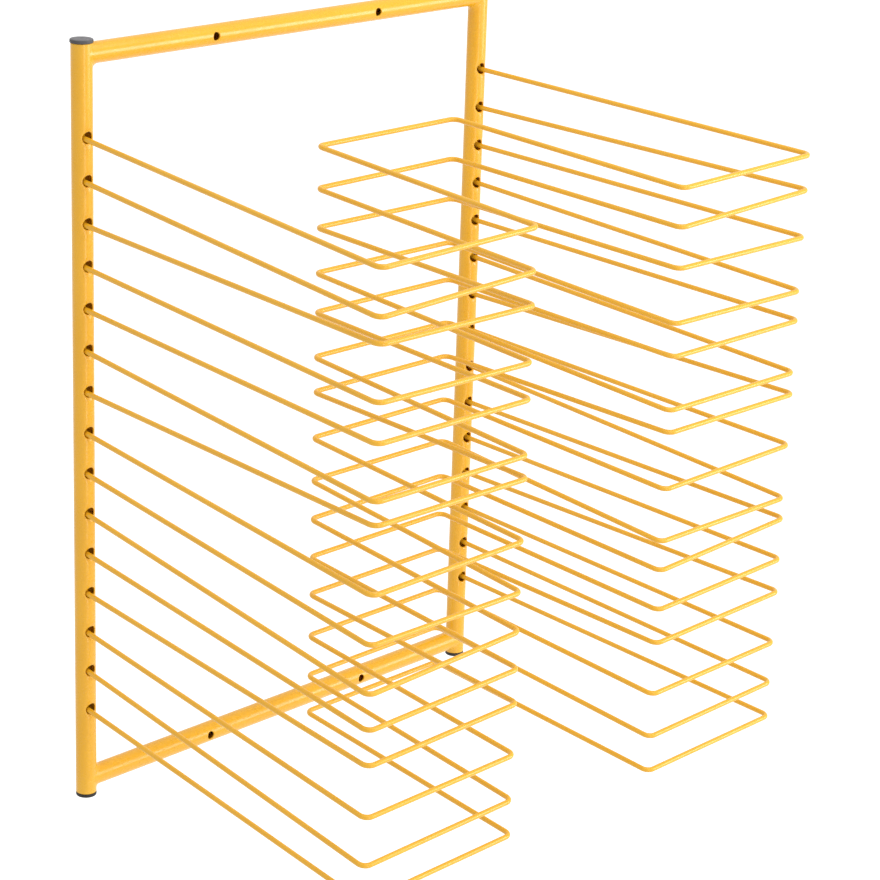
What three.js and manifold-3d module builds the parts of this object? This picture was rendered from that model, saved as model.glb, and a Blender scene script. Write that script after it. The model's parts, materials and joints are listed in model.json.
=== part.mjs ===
// Wall-hung art drying rack: a welded tube frame with fifteen wire shelves that hook into the
// uprights and fold up. Millimetres. X runs across the rack, Z is up, and the shelves reach
// towards -Y. The origin is on the wall, midway between the uprights and the crossbars.

import * as THREE from 'three';
import { mergeVertices } from 'three/addons/utils/BufferGeometryUtils.js';
import Module from 'manifold-3d';

// Frame tubes
const TUBE_DIAMETER = 20;
const TUBE_WALL = 1.5;
const UPRIGHT_SPACING = 520; // centre to centre
const TOP_OVERRUN = 0.5; // of the uprights, above the top crossbar
const BOTTOM_OVERRUN = 4; // of the uprights, below the bottom crossbar
const WELD_GAP = 0.3; // between a crossbar's coped end and the upright

// Shelf holes, punched through the front wall of the uprights
const SHELF_COUNT = 15;
const SHELF_PITCH = 40;
const END_HOLE_TO_CROSSBAR = 75;
const SHELF_HOLE_DIAMETER = 11;

// Screw holes in the crossbars: the head goes in at the front, the shank out at the back
const SCREW_SPACING = 213;
const SCREW_HEAD_HOLE = 8;
const SCREW_SHANK_HOLE = 5;

// Shelf wire. Depths are measured from the front face of the uprights to the wire's centre, and
// widths from centre to centre. The arms spread a little towards the front.
const WIRE_DIAMETER = 5;
const SHELF_DEPTH = 400; // to the front bars
const ARM_SPREAD = 27; // each outer arm runs this far outwards on its way to the front
const REAR_BAR_DEPTH = 121;
const REAR_BAR_WIDTH = 182;
const FRONT_GAP_WIDTH = 195; // between the inner arms at the front
const WIRE_BEND_RADIUS = 7.5;
const HOOK_BEND_RADIUS = 4;
const HOOK_DEPTH = 11; // from the upright's front face to the hook's corner
const HOOK_TOP = 12; // top of the hook above the hole's centre
const SEAT_GAP = 0.3; // between the wire and the tube that carries it
const SEAT_LEAN_DEG = 30; // below level: the side of the hole that the sprung arm lies against

// How far each shelf hangs below level, top shelf first, and how far its right side is turned up
// against its left side. The wires are bent with some spread, so no two hang alike.
const SHELF_DROOPS_DEG = [3.6, 3.3, 2.5, 4.2, 3.1, 4.8, 2.1, 4.6, 6.1, 5.1, 4.8, 3.9, 5.6, 6.3, 5.6];
const SHELF_TWISTS_DEG = [1.4, 2.4, -0.7, -1.1, -0.3, -0.5, -0.6, 0.7, -0.6, 2.6, 1.3, 1.1, 0.4, 0.8, 0.4];

// Plastic plugs in the ends of the uprights
const TOP_CAP = { overhang: 0.8, thickness: 4, edge: 1.2 };
const BOTTOM_CAP = { overhang: 0, thickness: 4, edge: 1 };
const PLUG_DEPTH = 14;
const PLUG_TAPER = 1;
const PLUG_CLEARANCE = 0.3;

// Facets
const TUBE_SIDES = 24;
const HOLE_SIDES = 12;
const WIRE_SIDES = 8;
const BEND_STEPS = 3;

const YELLOW_COAT = { color: 0xf2b632, roughness: 0.35, metalness: 0 };
const GREY_PLASTIC = { color: 0x6e6e72, roughness: 0.55, metalness: 0 };
const BLACK_PLASTIC = { color: 0x2b2a29, roughness: 0.6, metalness: 0 };

const TUBE_RADIUS = TUBE_DIAMETER / 2;
const BORE_RADIUS = TUBE_RADIUS - TUBE_WALL;
const WIRE_RADIUS = WIRE_DIAMETER / 2;
const HALF_SPACING = UPRIGHT_SPACING / 2;
const SHELF_FRONT_WIDTH = UPRIGHT_SPACING + 2 * ARM_SPREAD; // between the outer arms
const TOP_HOLE_Z = ((SHELF_COUNT - 1) * SHELF_PITCH) / 2;
const CROSSBAR_Z = TOP_HOLE_Z + END_HOLE_TO_CROSSBAR;
const UPRIGHT_TOP_Z = CROSSBAR_Z + TUBE_RADIUS + TOP_OVERRUN;
const UPRIGHT_BOTTOM_Z = -CROSSBAR_Z - TUBE_RADIUS - BOTTOM_OVERRUN;

const wasm = await Module();
wasm.setup();

function toSolid(geometry) {
  const bare = geometry.clone();
  bare.deleteAttribute('normal');
  bare.deleteAttribute('uv');
  const merged = mergeVertices(bare);
  return new wasm.Manifold(new wasm.Mesh({
    numProp: 3,
    vertProperties: new Float32Array(merged.attributes.position.array),
    triVerts: new Uint32Array(merged.index.array),
  }));
}

function toGeometry(solid) {
  const mesh = solid.getMesh();
  const geometry = new THREE.BufferGeometry();
  geometry.setAttribute('position', new THREE.BufferAttribute(mesh.vertProperties, 3));
  geometry.setIndex(new THREE.BufferAttribute(mesh.triVerts, 1));
  geometry.computeVertexNormals();
  return geometry;
}

function cut(geometry, cutters) {
  const whole = toSolid(geometry);
  return toGeometry(cutters.reduce((solid, cutter) => solid.subtract(toSolid(cutter)), whole));
}

function makeMesh(name, geometry, finish) {
  const mesh = new THREE.Mesh(geometry, new THREE.MeshStandardMaterial(finish));
  mesh.name = name;
  return mesh;
}

// Open tube along Z, centred on the origin
function tubeGeometry(length) {
  const ring = [
    new THREE.Vector2(TUBE_RADIUS, -length / 2),
    new THREE.Vector2(TUBE_RADIUS, length / 2),
    new THREE.Vector2(BORE_RADIUS, length / 2),
    new THREE.Vector2(BORE_RADIUS, -length / 2),
    new THREE.Vector2(TUBE_RADIUS, -length / 2),
  ];
  return new THREE.LatheGeometry(ring, TUBE_SIDES).rotateX(Math.PI / 2);
}

// Cutter for one wall of a tube, along Y, from the tube's axis outwards: side -1 is the front
// wall, +1 the back wall
function wallHole(diameter, x, z, side) {
  const radius = diameter / 2;
  const drill = new THREE.CylinderGeometry(radius, radius, TUBE_DIAMETER, HOLE_SIDES);
  return drill.translate(x, side * TUBE_RADIUS, z);
}

function holeHeight(index) {
  return TOP_HOLE_Z - index * SHELF_PITCH;
}

function uprightGeometry() {
  const holes = [];
  for (let index = 0; index < SHELF_COUNT; index += 1) {
    holes.push(wallHole(SHELF_HOLE_DIAMETER, 0, holeHeight(index), -1));
  }
  const tube = tubeGeometry(UPRIGHT_TOP_Z - UPRIGHT_BOTTOM_Z);
  return cut(tube.translate(0, 0, (UPRIGHT_TOP_Z + UPRIGHT_BOTTOM_Z) / 2), holes);
}

// Tube along X with both ends coped to the uprights' round sides
function crossbarGeometry() {
  const tube = tubeGeometry(UPRIGHT_SPACING).rotateY(Math.PI / 2);
  const copeRadius = TUBE_RADIUS + WELD_GAP;
  const cutters = [];
  for (const side of [-1, 1]) {
    const cope = new THREE.CylinderGeometry(copeRadius, copeRadius, 2 * TUBE_DIAMETER, TUBE_SIDES);
    cutters.push(cope.rotateX(Math.PI / 2).translate(side * HALF_SPACING, 0, 0));
    const screwX = (side * SCREW_SPACING) / 2;
    cutters.push(wallHole(SCREW_HEAD_HOLE, screwX, 0, -1));
    cutters.push(wallHole(SCREW_SHANK_HOLE, screwX, 0, 1));
  }
  return cut(tube, cutters);
}

// Plug whose head sits on the tube's end at Z = 0 and faces +Z
function capGeometry({ overhang, thickness, edge }) {
  const plugRadius = BORE_RADIUS - PLUG_CLEARANCE;
  const headRadius = TUBE_RADIUS + overhang;
  const profile = [
    [0, -PLUG_DEPTH],
    [plugRadius - PLUG_TAPER, -PLUG_DEPTH],
    [plugRadius, -PLUG_DEPTH / 2],
    [plugRadius, PLUG_CLEARANCE],
    [headRadius, PLUG_CLEARANCE],
    [headRadius, thickness - edge],
    [headRadius - edge, thickness],
    [0, thickness],
  ];
  const points = profile.map(([radius, height]) => new THREE.Vector2(radius, height));
  return new THREE.LatheGeometry(points, TUBE_SIDES).rotateX(Math.PI / 2);
}

// A path that stops only at its own stations, so straight runs need no steps
class StationPath extends THREE.Curve {
  constructor(points, tangents) {
    super();
    this.points = points;
    this.tangents = tangents;
  }

  get steps() {
    return this.points.length - 1;
  }

  getPointAt(share, target = new THREE.Vector3()) {
    return target.copy(this.points[Math.round(share * this.steps)]);
  }

  getTangentAt(share, target = new THREE.Vector3()) {
    return target.copy(this.tangents[Math.round(share * this.steps)]);
  }
}

// Round off the inner corners of a line of { point, radius } corners with true arcs
function bentWirePath(corners) {
  const points = [];
  const tangents = [];
  const direction = (from, to) => to.point.clone().sub(from.point).normalize();
  const last = corners.length - 1;
  corners.forEach((corner, index) => {
    if (index === 0 || index === last) {
      points.push(corner.point);
      tangents.push(index === 0 ? direction(corner, corners[1]) : direction(corners[last - 1], corner));
      return;
    }
    const incoming = direction(corners[index - 1], corner);
    const outgoing = direction(corner, corners[index + 1]);
    const turn = incoming.angleTo(outgoing);
    const inward = outgoing.clone().sub(incoming).normalize();
    const centre = corner.point.clone().addScaledVector(inward, corner.radius / Math.cos(turn / 2));
    const axis = incoming.clone().cross(outgoing).normalize();
    const outward = axis.clone().cross(incoming).negate().multiplyScalar(corner.radius);
    for (let step = 0; step <= BEND_STEPS; step += 1) {
      const angle = (turn * step) / BEND_STEPS;
      points.push(outward.clone().applyAxisAngle(axis, angle).add(centre));
      tangents.push(incoming.clone().applyAxisAngle(axis, angle));
    }
  });
  return new StationPath(points, tangents);
}

function wireSection() {
  const corners = [];
  for (let side = 0; side < WIRE_SIDES; side += 1) {
    const angle = (2 * Math.PI * side) / WIRE_SIDES;
    corners.push(new THREE.Vector2(WIRE_RADIUS * Math.cos(angle), WIRE_RADIUS * Math.sin(angle)));
  }
  return new THREE.Shape(corners);
}

// One shelf as a single bent wire. Z = 0 is the centre of its holes: each arm springs outwards to
// the lower outer side of its hole, and the hook leans forward to the inside of the tube's wall.
function shelfGeometry(droopDeg, twistDeg) {
  const seatLean = THREE.MathUtils.degToRad(SEAT_LEAN_DEG);
  const seatReach = SHELF_HOLE_DIAMETER / 2 - WIRE_RADIUS - SEAT_GAP;
  const seatX = HALF_SPACING + seatReach * Math.cos(seatLean);
  const seatZ = -seatReach * Math.sin(seatLean);
  const onShelf = (x, depth) => {
    const rise = THREE.MathUtils.degToRad((twistDeg * x) / UPRIGHT_SPACING - droopDeg);
    const y = -TUBE_DIAMETER - depth * Math.cos(rise);
    return new THREE.Vector3(x, y, seatZ + depth * Math.sin(rise));
  };
  const bend = (width, depth) => (
    { point: onShelf(width / 2, depth), radius: WIRE_BEND_RADIUS }
  );
  // Where the arm's line, run on through the hole, meets the hook's leg
  const hookFoot = (side) => {
    const seat = onShelf(side * seatX, 0);
    const arm = seat.clone().sub(onShelf((side * SHELF_FRONT_WIDTH) / 2, SHELF_DEPTH));
    return { point: seat.addScaledVector(arm, HOOK_DEPTH / arm.y), radius: HOOK_BEND_RADIUS };
  };
  const hookTip = (side) => {
    const { x } = hookFoot(side).point;
    const aside = Math.abs(x) - HALF_SPACING;
    const forward = Math.sqrt((BORE_RADIUS - SEAT_GAP - WIRE_RADIUS) ** 2 - aside ** 2);
    return { point: new THREE.Vector3(x, -TUBE_RADIUS - forward, HOOK_TOP) };
  };
  const path = bentWirePath([
    hookTip(-1),
    hookFoot(-1),
    bend(-SHELF_FRONT_WIDTH, SHELF_DEPTH),
    bend(-FRONT_GAP_WIDTH, SHELF_DEPTH),
    bend(-REAR_BAR_WIDTH, REAR_BAR_DEPTH),
    bend(REAR_BAR_WIDTH, REAR_BAR_DEPTH),
    bend(FRONT_GAP_WIDTH, SHELF_DEPTH),
    bend(SHELF_FRONT_WIDTH, SHELF_DEPTH),
    hookFoot(1),
    hookTip(1),
  ]);
  return new THREE.ExtrudeGeometry(wireSection(), { steps: path.steps, extrudePath: path });
}

const frame = new THREE.Group();
frame.position.y = -TUBE_RADIUS;

for (const [sideName, side] of [['left', -1], ['right', 1]]) {
  const upright = makeMesh(`${sideName}_upright`, uprightGeometry(), YELLOW_COAT);
  const topCap = makeMesh(`top_${sideName}_cap`, capGeometry(TOP_CAP), GREY_PLASTIC);
  const bottomCap = makeMesh(`bottom_${sideName}_cap`, capGeometry(BOTTOM_CAP), BLACK_PLASTIC);
  topCap.position.z = UPRIGHT_TOP_Z;
  bottomCap.position.z = UPRIGHT_BOTTOM_Z;
  bottomCap.rotation.x = Math.PI;
  const post = new THREE.Group();
  post.position.x = side * HALF_SPACING;
  post.add(upright, topCap, bottomCap);
  frame.add(post);
}

for (const [name, z] of [['top_crossbar', CROSSBAR_Z], ['bottom_crossbar', -CROSSBAR_Z]]) {
  const crossbar = makeMesh(name, crossbarGeometry(), YELLOW_COAT);
  crossbar.position.z = z;
  frame.add(crossbar);
}

const shelves = new THREE.Group();
for (let index = 0; index < SHELF_COUNT; index += 1) {
  const name = `shelf_${String(index + 1).padStart(2, '0')}`;
  const geometry = shelfGeometry(SHELF_DROOPS_DEG[index], SHELF_TWISTS_DEG[index]);
  const shelf = makeMesh(name, geometry, YELLOW_COAT);
  shelf.position.z = holeHeight(index);
  shelves.add(shelf);
}

const rack = new THREE.Group();
rack.add(frame, shelves);

export default rack;
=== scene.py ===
"""Wall-hung art drying rack: a welded, powder-coated tube frame with fifteen folding wire shelves."""
import json
from math import acos, asin, ceil, cos, pi, radians, sin, sqrt

import bmesh
import bpy
from mathutils import Matrix, Vector


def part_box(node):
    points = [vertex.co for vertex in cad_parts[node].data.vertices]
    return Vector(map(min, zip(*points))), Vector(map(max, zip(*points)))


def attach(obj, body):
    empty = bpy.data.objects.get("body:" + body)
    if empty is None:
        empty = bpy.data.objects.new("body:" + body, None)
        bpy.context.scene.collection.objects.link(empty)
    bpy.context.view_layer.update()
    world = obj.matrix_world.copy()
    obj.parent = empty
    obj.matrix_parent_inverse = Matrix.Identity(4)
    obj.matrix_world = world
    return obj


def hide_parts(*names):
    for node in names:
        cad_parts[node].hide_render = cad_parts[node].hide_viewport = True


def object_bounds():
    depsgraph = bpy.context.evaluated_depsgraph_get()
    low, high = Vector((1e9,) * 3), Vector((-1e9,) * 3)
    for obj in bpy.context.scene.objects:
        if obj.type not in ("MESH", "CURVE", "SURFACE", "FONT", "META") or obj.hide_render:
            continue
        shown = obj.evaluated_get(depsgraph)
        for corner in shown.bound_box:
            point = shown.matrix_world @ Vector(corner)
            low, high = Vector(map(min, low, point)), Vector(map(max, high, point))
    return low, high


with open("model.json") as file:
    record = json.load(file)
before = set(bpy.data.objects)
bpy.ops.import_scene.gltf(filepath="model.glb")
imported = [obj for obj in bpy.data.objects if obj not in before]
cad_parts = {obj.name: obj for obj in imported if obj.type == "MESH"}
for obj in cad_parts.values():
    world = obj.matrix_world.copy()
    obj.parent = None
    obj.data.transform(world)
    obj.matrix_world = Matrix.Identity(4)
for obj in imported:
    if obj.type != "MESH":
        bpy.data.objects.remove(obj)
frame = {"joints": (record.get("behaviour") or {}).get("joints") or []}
cad_low, cad_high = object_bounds()

MM = 0.001

# Places that the frame gives
POST_LOW, POST_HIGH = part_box("right_upright")
TUBE_RADIUS = (POST_HIGH.x - POST_LOW.x) / 2
HALF_SPACING = (POST_HIGH.x + POST_LOW.x) / 2
TUBE_Y = (POST_HIGH.y + POST_LOW.y) / 2
POST_ENDS = {-1: POST_LOW.z, 1: POST_HIGH.z}
FRONT_Y = TUBE_Y - TUBE_RADIUS
HOLE_HEIGHTS = [joint["pos_m"][2] for joint in frame["joints"]]
SHELF_NAMES = [joint["child"] for joint in frame["joints"]]

# Tubes
TUBE_WALL = 1.5 * MM
TUBE_END_ROUND = 0.4 * MM
WELD_RADIUS = 7 * MM
WELD_SINK = 0.05 * MM
WELD_END_MARGIN = 0.1 * MM
SHELF_HOLE_RADIUS = 5.5 * MM
SCREW_SPACING = 213 * MM
SCREW_HEAD_HOLE_RADIUS = 4 * MM
SCREW_SHANK_HOLE_RADIUS = 2.5 * MM
SHELF_HOLE_RIM = 1.2 * MM
SHELF_HOLE_DISH = 0.5 * MM
SCREW_HOLE_RIM = 0.6 * MM
BORE_RADIUS = TUBE_RADIUS - TUBE_WALL

# Shelf wire, one bent length for each shelf
WIRE_RADIUS = 2.5 * MM
WIRE_END_DOME = 0.7 * MM
SHELF_DEPTH = 400 * MM
ARM_SPREAD = 27 * MM
REAR_BAR_DEPTH = 121 * MM
REAR_BAR_WIDTH = 182 * MM
FRONT_GAP_WIDTH = 195 * MM
WIRE_BEND_RADIUS = 7.5 * MM
HOOK_BEND_RADIUS = 4 * MM
HOOK_DEPTH = 11 * MM
HOOK_TOP = 12 * MM

# The wire lies this close to the side of its hole, on the outer side and this far below level
SEAT_GAP = 0.3 * MM
SEAT_LEAN_DEG = 30

# How far each shelf hangs down and how far it twists from left to right, from the top shelf down
SHELF_DROOPS_DEG = [3.6, 3.3, 2.5, 4.2, 3.1, 4.8, 2.1, 4.6, 6.1, 5.1, 4.8, 3.9, 5.6, 6.3, 5.6]
SHELF_TWISTS_DEG = [1.4, 2.4, -0.7, -1.1, -0.3, -0.5, -0.6, 0.7, -0.6, 2.6, 1.3, 1.1, 0.4, 0.8, 0.4]

# Plastic plugs in the ends of the uprights
TOP_CAP = {"overhang": 0.8 * MM, "thickness": 4 * MM, "edge": 1.2 * MM}
BOTTOM_CAP = {"overhang": 0, "thickness": 4 * MM, "edge": 1 * MM}
PLUG_DEPTH = 14 * MM
PLUG_CLEARANCE = 0.3 * MM
PLUG_LIP = 0.6 * MM
PLUG_LIPS = 3
CAP_CROWN = 0.25 * MM
CROWN_FALL_HALFWAY = CAP_CROWN / 3
GATE_MARK_RADIUS = 1.2 * MM
GATE_MARK_LIP_RADIUS = 1.3 * GATE_MARK_RADIUS
GATE_MARK_DEPTH = 0.25 * MM

# Most noise lies in this range
NOISE_RANGE = (0.3, 0.7)

# Powder coat. A spot is the size of a texture's patches, and a height is how far it stands out.
COAT_TONES = ((0.800, 0.406, 0.012), (0.840, 0.434, 0.016))
COAT_TONE_RANGE = (0.35, 0.65)
COAT_TONE_SPOT = 70 * MM
COAT_MOTTLE = (0.780, 0.384, 0.010)
COAT_MOTTLE_RANGE = (0.4, 0.7)
COAT_MOTTLE_SPOT = 2.5 * MM
COAT_MOTTLE_SHARE = 0.2
# Painted highlight: sharp edges found by pointiness are blended this far towards a paler tone
COAT_EDGE_HIGHLIGHT = (0.850, 0.540, 0.080)
COAT_EDGE_HIGHLIGHT_SHARE = 0.35
COAT_EDGE_HIGHLIGHT_POINTINESS = (0.52, 0.60)
COAT_ROUGHNESS = (0.23, 0.32)
COAT_GLOSS_SPOT = 9 * MM
PEEL_SPOT = 1.6 * MM
PEEL_HEIGHT = 0.04 * MM
PEEL_STRENGTH = 0.25
COAT_GRAIN_SPOT = 0.4 * MM
COAT_GRAIN_HEIGHT = 0.006 * MM
COAT_GRAIN_STRENGTH = 0.3

# Moulded plastic: a dark and a pale tone, a paler tone painted on top as top light, and the least and
# most roughness
GREY_TONES = ((0.070, 0.068, 0.072), (0.095, 0.092, 0.097), (0.175, 0.170, 0.180))
GREY_ROUGHNESS = (0.42, 0.58)
BLACK_TONES = ((0.020, 0.018, 0.017), (0.034, 0.031, 0.029), (0.050, 0.047, 0.045))
BLACK_ROUGHNESS = (0.45, 0.6)
PLASTIC_SPECULAR = 0.25
PLASTIC_TONE_SPOT = 4 * MM
PLASTIC_GLOSS_SPOT = 1.5 * MM
PLASTIC_GRAIN_SPOT = 0.35 * MM
PLASTIC_GRAIN_HEIGHT = 0.03 * MM
PLASTIC_GRAIN_STRENGTH = 0.6
# Painted top light: where the surface faces up, the tone goes this far towards the paler third tone
TOP_LIGHT_FACING = (0.3, 0.9)
TOP_LIGHT_SHARE = 0.8

# Mesh steps. Patch rings are shares of the way from a hole's rim to the edge of the patch round it.
TUBE_STEPS = 48
PATCH_STEPS = 16
PATCH_HALF_ANGLE = radians(60)
PATCH_HALF_HEIGHT = TUBE_RADIUS
PATCH_RINGS = (1, 0.8, 0.6, 0.4, 0.2, 0.08)
RIM_STEPS = 4
PLAIN_ROW = 20 * MM
FLARE_STEPS = 3
WELD_STEPS = 6
WIRE_STEPS = 16
BEND_STEPS = 10
DOME_STEPS = 3
EDGE_STEPS = 5
SHARP_ANGLE = radians(40)
MERGE_DISTANCE = 0.001 * MM

# The photograph's camera, with its optical centre a little above the middle of the picture
CAMERA_PLACE = (-1.8584, -1.9616, 0.8512)
CAMERA_AZIMUTH = radians(46.848)
CAMERA_ELEVATION = radians(17.855)
CAMERA_ROLL = radians(1.947)
CAMERA_LENS = 115.93
CAMERA_SHIFT_Y = -0.05

# The rack hangs on a wall, so the floor is well below it
FLOOR_DROP = 0.9
FLOOR_HALF_SIZE = 40
FLOOR_COLOUR = (0.82, 0.82, 0.82)
FLOOR_ROUGHNESS = 0.9
FLOOR_GLOW = 0.5

# Light: an even white room that lights a little less than it shows, and four soft boxes
WORLD_FILL = 0.86
LAMPS = {
    "right_box": {
        "towards": (0.69, -0.72, 0.10), "distance": 3.0, "width": 1.1, "height": 1.2, "power": 29,
    },
    "front_strip": {
        "towards": (-0.25, -0.95, -0.08), "distance": 3.0, "width": 0.45, "height": 2.0, "power": 14,
    },
    "near_fill": {
        "towards": (0.35, -0.90, 0.25), "distance": 1.3, "width": 0.6, "height": 0.8, "power": 2,
    },
    "top_box": {
        "towards": (0.15, -0.35, 0.92), "distance": 1.7, "width": 1.2, "height": 1.2, "power": 9,
    },
}


class Surface:
    """Points and faces gathered from patches that meet along shared edges."""

    def __init__(self):
        self.points = []
        self.faces = []

    def grid(self, rows, closed=False):
        """Four-sided faces between rows that have one length; closed joins each row's two ends."""
        first = len(self.points)
        width = len(rows[0])
        for row in rows:
            self.points.extend(row)
        columns = width if closed else width - 1
        for line in range(len(rows) - 1):
            for column in range(columns):
                here = first + line * width + column
                beside = first + line * width + (column + 1) % width
                self.faces.append((here, beside, beside + width, here + width))

    def fan(self, ring, tip):
        """Three-sided faces from a closed ring to a point."""
        first = len(self.points)
        self.points.extend(ring)
        self.points.append(tip)
        last = len(self.points) - 1
        for index in range(len(ring)):
            self.faces.append((first + index, first + (index + 1) % len(ring), last))

    def to_object(self, name, place=Matrix.Identity(4)):
        """One closed mesh, smooth but for its true corners."""
        mesh = bpy.data.meshes.new(name)
        mesh.from_pydata([place @ point for point in self.points], [], self.faces)
        work = bmesh.new()
        work.from_mesh(mesh)
        bmesh.ops.remove_doubles(work, verts=work.verts, dist=MERGE_DISTANCE)
        bmesh.ops.dissolve_degenerate(work, dist=MERGE_DISTANCE, edges=work.edges)
        bmesh.ops.recalc_face_normals(work, faces=work.faces)
        work.to_mesh(mesh)
        work.free()
        mesh.shade_smooth()
        mesh.set_sharp_from_angle(angle=SHARP_ANGLE)
        piece = bpy.data.objects.new(name, mesh)
        bpy.context.scene.collection.objects.link(piece)
        return piece


def mix(low, high, share):
    return low + (high - low) * share


# Tubes with punched holes. They stand along Z here, and angle 0 is the front, towards -Y.

def wall_point(radius, angle, along):
    return Vector((radius * sin(angle), -radius * cos(angle), along))


def ring(radius, along):
    return [wall_point(radius, 2 * pi * step / TUBE_STEPS, along) for step in range(TUBE_STEPS)]


def patch_edge():
    """Round the edge of a square patch from -1 to 1, with the matching turn round its hole."""
    corners = [(-1, -1), (1, -1), (1, 1), (-1, 1), (-1, -1)]
    edge = []
    for (u0, v0), (u1, v1) in zip(corners, corners[1:]):
        for step in range(PATCH_STEPS):
            share = step / PATCH_STEPS
            edge.append((mix(u0, u1, share), mix(v0, v1, share)))
    first_turn = radians(-135)
    turns = [first_turn + 2 * pi * index / len(edge) for index in range(len(edge))]
    return list(zip(edge, turns))


def punched_patch(surface, centre, turn, radius, rim, dish):
    """One side of a tube round a hole: outer skin dipping to the rolled rim, cut edge, inner skin."""
    about_axis = Matrix.Rotation(turn, 3, "Z")
    edge = patch_edge()

    def on_skin(skin_radius, reach, share):
        row = []
        dip = Vector((0, dish * (1 - share) ** 2, 0))
        for (u, v), angle in edge:
            across = mix(asin(reach * cos(angle) / skin_radius), u * PATCH_HALF_ANGLE, share)
            along = centre + mix(reach * sin(angle), v * PATCH_HALF_HEIGHT, share)
            row.append(wall_point(skin_radius, across, along) + dip)
        return row

    def in_rim(lean):
        inwards = Vector((0, rim * (1 - sin(lean)), 0))
        return [point + inwards for point in on_skin(TUBE_RADIUS, radius + rim * (1 - cos(lean)), 0)]

    rows = [on_skin(TUBE_RADIUS, radius + rim, share) for share in PATCH_RINGS]
    rows += [in_rim(pi / 2 * (1 - step / RIM_STEPS)) for step in range(RIM_STEPS + 1)]
    rows += [on_skin(BORE_RADIUS, radius, share) for share in (0, *reversed(PATCH_RINGS))]
    surface.grid([[about_axis @ point for point in row] for row in rows], closed=True)


def plain_patch(surface, low, high, first_angle, last_angle):
    columns = round((last_angle - first_angle) / (2 * pi) * TUBE_STEPS)
    for radius in (TUBE_RADIUS, BORE_RADIUS):
        rows = []
        for line in range(PATCH_STEPS + 1):
            along = mix(low, high, line / PATCH_STEPS)
            angles = [mix(first_angle, last_angle, step / columns) for step in range(columns + 1)]
            rows.append([wall_point(radius, angle, along) for angle in angles])
        surface.grid(rows)


def plain_tube(surface, low, high):
    lines = ceil((high - low) / PLAIN_ROW)
    for radius in (TUBE_RADIUS, BORE_RADIUS):
        rows = [ring(radius, mix(low, high, line / lines)) for line in range(lines + 1)]
        surface.grid(rows, closed=True)


def punched_stretch(surface, centre, holes):
    """A short stretch of tube with a hole, or none, in its front and in its back."""
    low, high = centre - PATCH_HALF_HEIGHT, centre + PATCH_HALF_HEIGHT
    for turn, hole in zip((0, pi), holes):
        if hole:
            punched_patch(surface, centre, turn, **hole)
        else:
            plain_patch(surface, low, high, turn - PATCH_HALF_ANGLE, turn + PATCH_HALF_ANGLE)
        plain_patch(surface, low, high, turn + PATCH_HALF_ANGLE, turn + pi - PATCH_HALF_ANGLE)


def punched_tube(surface, low, high, centres, holes):
    start = low
    for centre in sorted(centres):
        plain_tube(surface, start, centre - PATCH_HALF_HEIGHT)
        punched_stretch(surface, centre, holes)
        start = centre + PATCH_HALF_HEIGHT
    plain_tube(surface, start, high)


def make_upright(name, side):
    surface = Surface()
    shoulders = {end: tip - end * TUBE_END_ROUND for end, tip in POST_ENDS.items()}
    hole = {"radius": SHELF_HOLE_RADIUS, "rim": SHELF_HOLE_RIM, "dish": SHELF_HOLE_DISH}
    punched_tube(surface, shoulders[-1], shoulders[1], HOLE_HEIGHTS, (hole, None))
    for end, tip in POST_ENDS.items():
        surface.grid([
            ring(TUBE_RADIUS, shoulders[end]),
            ring(TUBE_RADIUS - TUBE_END_ROUND, tip),
            ring(BORE_RADIUS, tip),
            ring(BORE_RADIUS, shoulders[end]),
        ], closed=True)
    return surface.to_object(name, Matrix.Translation((side * HALF_SPACING, TUBE_Y, 0)))


def weld_radius(angle, height):
    """The weld's size round the bar: full on the inner side, less towards the upright's near end."""
    end = 1 if height > 0 else -1
    room = abs(POST_ENDS[end] - height) - TUBE_RADIUS - WELD_END_MARGIN
    share = (1 - end * sin(angle)) / 2
    return mix(min(room, WELD_RADIUS), WELD_RADIUS, share)


def welded_end(surface, start, end, height):
    """From the bar's last plain ring out along a rolled weld onto the upright, and back inside."""
    angles = [2 * pi * step / TUBE_STEPS for step in range(TUBE_STEPS)]
    radii = [weld_radius(angle, height) for angle in angles]
    meets = [
        HALF_SPACING - (TUBE_RADIUS + radius) * abs(sin(angle))
        for angle, radius in zip(angles, radii)
    ]
    rows = []
    for step in range(FLARE_STEPS + 1):
        share = step / FLARE_STEPS
        rows.append([
            wall_point(TUBE_RADIUS, angle, mix(start, meet, share))
            for angle, meet in zip(angles, meets)
        ])
    for step in range(1, WELD_STEPS + 1):
        share = step / WELD_STEPS
        row = []
        for angle, radius, meet in zip(angles, radii, meets):
            centre = wall_point(TUBE_RADIUS + radius, angle, meet)
            to_bar = radius * Vector((-sin(angle), cos(angle), 0))
            to_post = radius * Vector((0, cos(angle), abs(sin(angle))))
            opening = acos(min(1, cos(angle) ** 2))
            if opening > 0:
                arm = to_bar * sin((1 - share) * opening) + to_post * sin(share * opening)
                row.append(centre + arm / sin(opening))
            else:
                row.append(centre + to_bar)
        rows.append(row)
    post_axis = Vector((0, 0, HALF_SPACING))
    sunk = []
    for point in rows[-1]:
        level = Vector((point.x, 0, 0))
        outwards = (point - level - post_axis).normalized()
        sunk.append(point - WELD_SINK * outwards)
    rows.append(sunk)
    inner_ends = [sqrt(TUBE_RADIUS ** 2 - (BORE_RADIUS * cos(angle)) ** 2) for angle in angles]
    for share in (1, 0):
        rows.append([
            wall_point(BORE_RADIUS, angle, mix(start, HALF_SPACING - inner, share))
            for angle, inner in zip(angles, inner_ends)
        ])
    flip = Matrix.Diagonal((1, 1, end))
    surface.grid([[flip @ point for point in row] for row in rows], closed=True)


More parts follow.
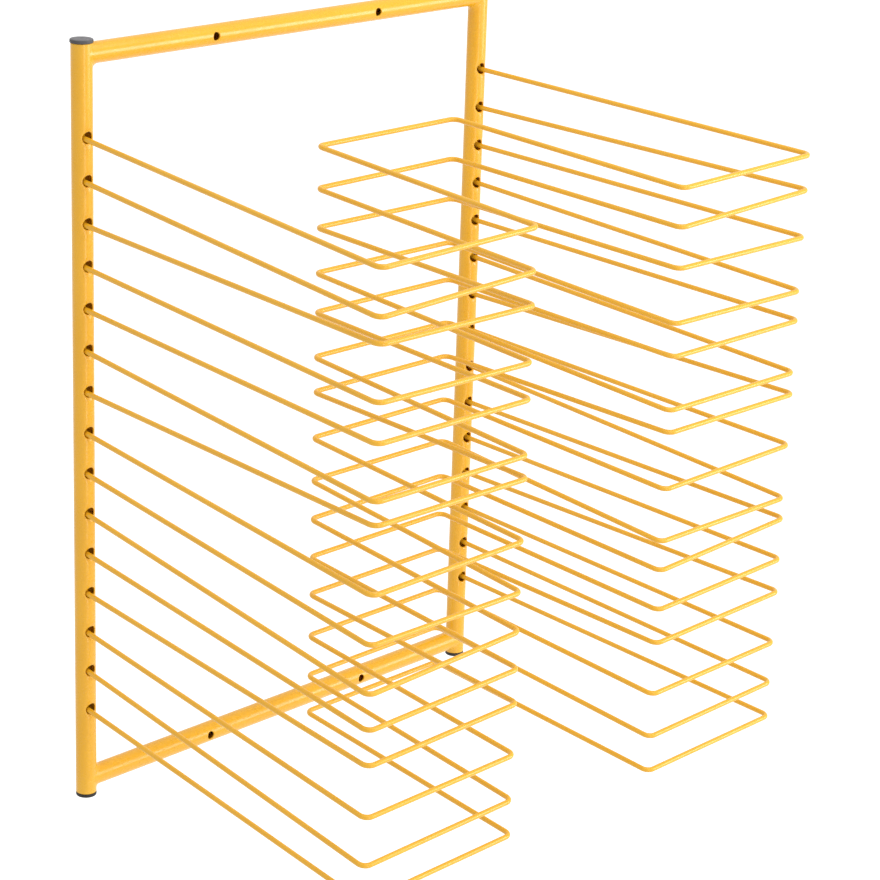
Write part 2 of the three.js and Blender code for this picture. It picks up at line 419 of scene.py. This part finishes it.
def make_crossbar(name, height):
    surface = Surface()
    start = HALF_SPACING - TUBE_RADIUS - WELD_RADIUS
    screws = (-SCREW_SPACING / 2, SCREW_SPACING / 2)
    radii = (SCREW_HEAD_HOLE_RADIUS, SCREW_SHANK_HOLE_RADIUS)
    holes = [{"radius": radius, "rim": SCREW_HOLE_RIM, "dish": 0} for radius in radii]
    punched_tube(surface, -start, start, screws, holes)
    for end in (-1, 1):
        welded_end(surface, start, end, height)
    along_x = Matrix.Rotation(-pi / 2, 4, "Y")
    return surface.to_object(name, Matrix.Translation((0, TUBE_Y, height)) @ along_x)


# Plastic plugs

def cap_profile(overhang, thickness, edge):
    """Radius and height from the plug's foot to the middle of the head; the tube ends at 0."""
    plug = BORE_RADIUS - PLUG_CLEARANCE
    head = TUBE_RADIUS + overhang
    shoulder = thickness - CAP_CROWN
    profile = [(0, -PLUG_DEPTH), (plug - 2 * PLUG_LIP, -PLUG_DEPTH)]
    pitch = PLUG_DEPTH / (PLUG_LIPS + 1)
    for lip in range(PLUG_LIPS):
        foot = pitch * (lip + 0.5) - PLUG_DEPTH
        crest = foot + pitch / 2
        profile += [(plug - PLUG_LIP, foot), (plug, crest), (plug - PLUG_LIP, crest)]
    profile += [(plug - PLUG_LIP, PLUG_CLEARANCE), (head - PLUG_LIP / 2, PLUG_CLEARANCE)]
    profile.append((head, PLUG_CLEARANCE + PLUG_LIP / 2))
    for step in range(EDGE_STEPS + 1):
        lean = pi / 2 * step / EDGE_STEPS
        profile.append((head - edge * (1 - cos(lean)), shoulder - edge * (1 - sin(lean))))
    profile.append((head / 2, thickness - CROWN_FALL_HALFWAY))
    profile.append((GATE_MARK_LIP_RADIUS, thickness))
    profile.append((GATE_MARK_RADIUS, thickness - GATE_MARK_DEPTH))
    profile.append((0, thickness - GATE_MARK_DEPTH))
    return profile


def make_cap(name, side, end, size):
    surface = Surface()
    profile = cap_profile(**size)
    surface.grid([ring(radius, height) for radius, height in profile], closed=True)
    facing = Matrix.Diagonal((1, 1, end, 1))
    place = Matrix.Translation((side * HALF_SPACING, TUBE_Y, POST_ENDS[end]))
    return surface.to_object(name, place @ facing)


# Shelves

def bent_path(corners):
    """Points and directions along a line of (point, radius) corners, rounded with true arcs."""
    stations = []
    last = len(corners) - 1
    for index, (point, radius) in enumerate(corners):
        if index in (0, last):
            first = min(index, last - 1)
            along = corners[first + 1][0] - corners[first][0]
            stations.append((point, along.normalized()))
            continue
        incoming = (point - corners[index - 1][0]).normalized()
        outgoing = (corners[index + 1][0] - point).normalized()
        turn = incoming.angle(outgoing)
        centre = point + (outgoing - incoming).normalized() * radius / cos(turn / 2)
        axis = incoming.cross(outgoing).normalized()
        outward = incoming.cross(axis) * radius
        for step in range(BEND_STEPS + 1):
            rotation = Matrix.Rotation(turn * step / BEND_STEPS, 3, axis)
            stations.append((centre + rotation @ outward, rotation @ incoming))
    return stations


def shelf_corners(droop_deg, twist_deg):
    """The wire's corners, with Z = 0 at the centre of the shelf's two holes."""
    seat_reach = SHELF_HOLE_RADIUS - WIRE_RADIUS - SEAT_GAP
    seat_x = HALF_SPACING + seat_reach * cos(radians(SEAT_LEAN_DEG))
    seat_height = -seat_reach * sin(radians(SEAT_LEAN_DEG))
    front_half_width = HALF_SPACING + ARM_SPREAD

    def on_shelf(x, depth):
        rise = radians(twist_deg * x / (2 * HALF_SPACING) - droop_deg)
        return Vector((x, FRONT_Y - depth * cos(rise), seat_height + depth * sin(rise)))

    def hook(side):
        seat = on_shelf(side * seat_x, 0)
        arm = seat - on_shelf(side * front_half_width, SHELF_DEPTH)
        foot = seat + arm * HOOK_DEPTH / arm.y
        aside = abs(foot.x) - HALF_SPACING
        forward = sqrt((BORE_RADIUS - SEAT_GAP - WIRE_RADIUS) ** 2 - aside ** 2)
        tip = Vector((foot.x, TUBE_Y - forward, HOOK_TOP))
        tip += (foot - tip).normalized() * WIRE_END_DOME
        return [(tip, 0), (foot, HOOK_BEND_RADIUS)]

    half_bends = [
        (front_half_width, SHELF_DEPTH),
        (FRONT_GAP_WIDTH / 2, SHELF_DEPTH),
        (REAR_BAR_WIDTH / 2, REAR_BAR_DEPTH),
    ]
    left = [(on_shelf(-x, depth), WIRE_BEND_RADIUS) for x, depth in half_bends]
    right = [(on_shelf(x, depth), WIRE_BEND_RADIUS) for x, depth in reversed(half_bends)]
    return hook(-1) + left + right + list(reversed(hook(1)))


def make_shelf(name, height, droop_deg, twist_deg):
    surface = Surface()
    stations = bent_path(shelf_corners(droop_deg, twist_deg))
    side = stations[0][1].orthogonal().normalized()
    rows = []
    for index, (point, along) in enumerate(stations):
        if index:
            side = stations[index - 1][1].rotation_difference(along) @ side
        other = along.cross(side)
        turns = [2 * pi * step / WIRE_STEPS for step in range(WIRE_STEPS)]
        rows.append([point + WIRE_RADIUS * (cos(turn) * side + sin(turn) * other) for turn in turns])
    surface.grid(rows, closed=True)
    for row, (point, along) in ((rows[0], stations[0]), (rows[-1], stations[-1])):
        outwards = -along if row is rows[0] else along
        dome = []
        for step in range(DOME_STEPS):
            lean = pi / 2 * step / DOME_STEPS
            lift = outwards * WIRE_END_DOME * sin(lean)
            dome.append([mix(point, spot, cos(lean)) + lift for spot in row])
        surface.grid(dome, closed=True)
        surface.fan(dome[-1], point + outwards * WIRE_END_DOME)
    return surface.to_object(name, Matrix.Translation((0, 0, height)))


# Materials

class NodeMaterial:
    """A principled material with helpers for the textures that feed it."""

    def __init__(self, name):
        self.material = bpy.data.materials.new(name)
        self.material.use_nodes = True
        self.nodes = self.material.node_tree.nodes
        self.links = self.material.node_tree.links
        self.shader = self.nodes["Principled BSDF"]
        self.place = self.nodes.new("ShaderNodeTexCoord").outputs["Object"]

    def noise(self, size, detail=2.0):
        """Noise whose spots are about this size in metres."""
        node = self.nodes.new("ShaderNodeTexNoise")
        node.inputs["Scale"].default_value = 1 / size
        node.inputs["Detail"].default_value = detail
        self.links.new(self.place, node.inputs["Vector"])
        return node.outputs["Fac"]

    def ramp(self, value, limits, colours):
        """One colour up to the lower limit, the other from the upper limit on, blended between."""
        node = self.nodes.new("ShaderNodeValToRGB")
        for element, position, colour in zip(node.color_ramp.elements, limits, colours):
            element.position = position
            element.color = (*colour, 1)
        self.links.new(value, node.inputs["Fac"])
        return node.outputs["Color"]

    def blend(self, share, low, high):
        """A colour from low to high; low is a socket, high a plain colour."""
        node = self.nodes.new("ShaderNodeMix")
        node.data_type = "RGBA"
        self.links.new(share, node.inputs["Factor"])
        self.links.new(low, node.inputs["A"])
        node.inputs["B"].default_value = (*high, 1)
        return node.outputs["Result"]

    def spread(self, value, low, high, to_low, to_high):
        """A value that goes from low to high, brought to the range from to_low to to_high."""
        node = self.nodes.new("ShaderNodeMapRange")
        limits = {"From Min": low, "From Max": high, "To Min": to_low, "To Max": to_high}
        for socket, number in limits.items():
            node.inputs[socket].default_value = number
        self.links.new(value, node.inputs["Value"])
        return node.outputs["Result"]

    def bump(self, height, distance, strength, under=None):
        node = self.nodes.new("ShaderNodeBump")
        node.inputs["Distance"].default_value = distance
        node.inputs["Strength"].default_value = strength
        self.links.new(height, node.inputs["Height"])
        if under is not None:
            self.links.new(under, node.inputs["Normal"])
        return node.outputs["Normal"]

    def feed(self, name, socket):
        self.links.new(socket, self.shader.inputs[name])

    def edges(self):
        return self.nodes.new("ShaderNodeNewGeometry").outputs["Pointiness"]

    def facing_up(self):
        """1 where the surface looks straight up, 0 on its sides."""
        geometry = self.nodes.new("ShaderNodeNewGeometry")
        parts = self.nodes.new("ShaderNodeSeparateXYZ")
        self.links.new(geometry.outputs["Normal"], parts.inputs["Vector"])
        return parts.outputs["Z"]


def yellow_coat():
    """Glossy powder coat: slight orange peel, uneven tone, and a painted highlight that makes sharp
    edges paler.
    """
    coat = NodeMaterial("yellow_coat")
    tone = coat.ramp(coat.noise(COAT_TONE_SPOT, 3), COAT_TONE_RANGE, COAT_TONES)
    mottle = coat.spread(coat.noise(COAT_MOTTLE_SPOT, 2), *COAT_MOTTLE_RANGE, 0, COAT_MOTTLE_SHARE)
    tone = coat.blend(mottle, tone, COAT_MOTTLE)
    # Painted highlight: sharp edges turn paler
    edge = coat.spread(coat.edges(), *COAT_EDGE_HIGHLIGHT_POINTINESS, 0, COAT_EDGE_HIGHLIGHT_SHARE)
    tone = coat.blend(edge, tone, COAT_EDGE_HIGHLIGHT)
    coat.feed("Base Color", tone)
    gloss = coat.spread(coat.noise(COAT_GLOSS_SPOT, 3), *NOISE_RANGE, *COAT_ROUGHNESS)
    coat.feed("Roughness", gloss)
    peel = coat.bump(coat.noise(PEEL_SPOT, 1.5), PEEL_HEIGHT, PEEL_STRENGTH)
    grain = coat.noise(COAT_GRAIN_SPOT, 1)
    coat.feed("Normal", coat.bump(grain, COAT_GRAIN_HEIGHT, COAT_GRAIN_STRENGTH, peel))
    return coat.material


def moulded_plastic(name, tones, roughness):
    """Moulded plastic with a fine grain, faint flow marks, uneven gloss and a painted top light that
    pales it where it faces up.
    """
    plastic = NodeMaterial(name)
    low, high, top_lit_tone = tones
    tone = plastic.ramp(plastic.noise(PLASTIC_TONE_SPOT, 4), NOISE_RANGE, (low, high))
    # Painted top light: paler where the surface faces up
    top_lit_mask = plastic.spread(plastic.facing_up(), *TOP_LIGHT_FACING, 0, TOP_LIGHT_SHARE)
    plastic.feed("Base Color", plastic.blend(top_lit_mask, tone, top_lit_tone))
    gloss = plastic.spread(plastic.noise(PLASTIC_GLOSS_SPOT, 3), *NOISE_RANGE, *roughness)
    plastic.feed("Roughness", gloss)
    plastic.shader.inputs["Specular IOR Level"].default_value = PLASTIC_SPECULAR
    grain = plastic.noise(PLASTIC_GRAIN_SPOT, 2)
    plastic.feed("Normal", plastic.bump(grain, PLASTIC_GRAIN_HEIGHT, PLASTIC_GRAIN_STRENGTH))
    return plastic.material


def white_for_camera(nodes, links):
    """1 for rays that look at, reflect or see through to the background, 0 for rays that light."""
    path = nodes.new("ShaderNodeLightPath")
    share = path.outputs["Is Camera Ray"]
    for name in ("Is Glossy Ray", "Is Transmission Ray"):
        larger = nodes.new("ShaderNodeMath")
        larger.operation = "MAXIMUM"
        links.new(share, larger.inputs[0])
        links.new(path.outputs[name], larger.inputs[1])
        share = larger.outputs["Value"]
    return share


def pale_floor():
    """White floor that still takes a shadow: a little glow for the camera over a pale matt."""
    material = bpy.data.materials.new("pale_floor")
    material.use_nodes = True
    nodes, links = material.node_tree.nodes, material.node_tree.links
    shader = nodes["Principled BSDF"]
    shader.inputs["Base Color"].default_value = (*FLOOR_COLOUR, 1)
    shader.inputs["Roughness"].default_value = FLOOR_ROUGHNESS
    shader.inputs["Specular IOR Level"].default_value = 0
    shader.inputs["Emission Color"].default_value = (1, 1, 1, 1)
    glow = nodes.new("ShaderNodeMath")
    glow.operation = "MULTIPLY"
    glow.inputs[1].default_value = FLOOR_GLOW
    links.new(white_for_camera(nodes, links), glow.inputs[0])
    links.new(glow.outputs["Value"], shader.inputs["Emission Strength"])
    return material


# Stage, light and camera

def make_floor():
    surface = Surface()
    corners = (-FLOOR_HALF_SIZE, FLOOR_HALF_SIZE)
    height = cad_low.z - FLOOR_DROP
    surface.grid([[Vector((x, y, height)) for x in corners] for y in corners])
    floor = surface.to_object("floor")
    floor.data.materials.append(pale_floor())


def make_world():
    world = bpy.data.worlds.new("studio")
    bpy.context.scene.world = world
    world.use_nodes = True
    nodes, links = world.node_tree.nodes, world.node_tree.links
    strength = nodes.new("ShaderNodeMapRange")
    strength.inputs["To Min"].default_value = WORLD_FILL
    strength.inputs["To Max"].default_value = 1
    links.new(white_for_camera(nodes, links), strength.inputs["Value"])
    background = nodes["Background"]
    background.inputs["Color"].default_value = (1, 1, 1, 1)
    links.new(strength.outputs["Result"], background.inputs["Strength"])


def make_lamp(name, towards, distance, width, height, power):
    """A soft box that stands upright and is aimed at the middle of the rack."""
    lamp = bpy.data.lights.new(name, "AREA")
    lamp.shape = "RECTANGLE"
    lamp.size = width
    lamp.size_y = height
    lamp.energy = power
    holder = bpy.data.objects.new(name, lamp)
    centre = (cad_low + cad_high) / 2
    direction = Vector(towards).normalized()
    holder.location = centre + direction * distance
    holder.rotation_mode = "QUATERNION"
    holder.rotation_quaternion = (-direction).to_track_quat("-Z", "Y")
    holder.visible_camera = False
    bpy.context.scene.collection.objects.link(holder)


def make_camera():
    camera = bpy.data.cameras.new("photo_camera")
    camera.lens = CAMERA_LENS
    camera.shift_y = CAMERA_SHIFT_Y
    holder = bpy.data.objects.new("photo_camera", camera)
    azimuth, elevation = CAMERA_AZIMUTH, CAMERA_ELEVATION
    look = Vector((sin(azimuth) * cos(elevation), cos(azimuth) * cos(elevation), -sin(elevation)))
    level = Vector((cos(azimuth), -sin(azimuth), 0))
    upright = level.cross(look)
    right = cos(CAMERA_ROLL) * level + sin(CAMERA_ROLL) * upright
    up = cos(CAMERA_ROLL) * upright - sin(CAMERA_ROLL) * level
    turned = Matrix((right, up, -look)).transposed().to_4x4()
    holder.matrix_world = Matrix.Translation(CAMERA_PLACE) @ turned
    bpy.context.scene.collection.objects.link(holder)
    bpy.context.scene.camera = holder


def dress(piece, node, body, material):
    """Puts a finished piece in the place of its CAD node."""
    piece.data.materials.append(material)
    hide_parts(node)
    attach(piece, body)


def make_rack():
    coat = yellow_coat()
    grey = moulded_plastic("grey_plastic", GREY_TONES, GREY_ROUGHNESS)
    black = moulded_plastic("black_plastic", BLACK_TONES, BLACK_ROUGHNESS)
    for side_name, side in (("left", -1), ("right", 1)):
        node = f"{side_name}_upright"
        dress(make_upright(f"{node}_tube", side), node, "frame", coat)
        node = f"top_{side_name}_cap"
        dress(make_cap(f"{node}_plug", side, 1, TOP_CAP), node, "frame", grey)
        node = f"bottom_{side_name}_cap"
        dress(make_cap(f"{node}_plug", side, -1, BOTTOM_CAP), node, "frame", black)
    for node in ("top_crossbar", "bottom_crossbar"):
        low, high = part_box(node)
        crossbar = make_crossbar(f"{node}_tube", (low.z + high.z) / 2)
        dress(crossbar, node, "frame", coat)
    hangs = zip(SHELF_NAMES, HOLE_HEIGHTS, SHELF_DROOPS_DEG, SHELF_TWISTS_DEG)
    for node, height, droop, twist in hangs:
        dress(make_shelf(f"{node}_wire", height, droop, twist), node, node, coat)


bpy.context.scene.view_settings.view_transform = "Standard"
make_rack()
make_floor()
make_world()
for lamp_name, lamp_size in LAMPS.items():
    make_lamp(lamp_name, **lamp_size)
make_camera()
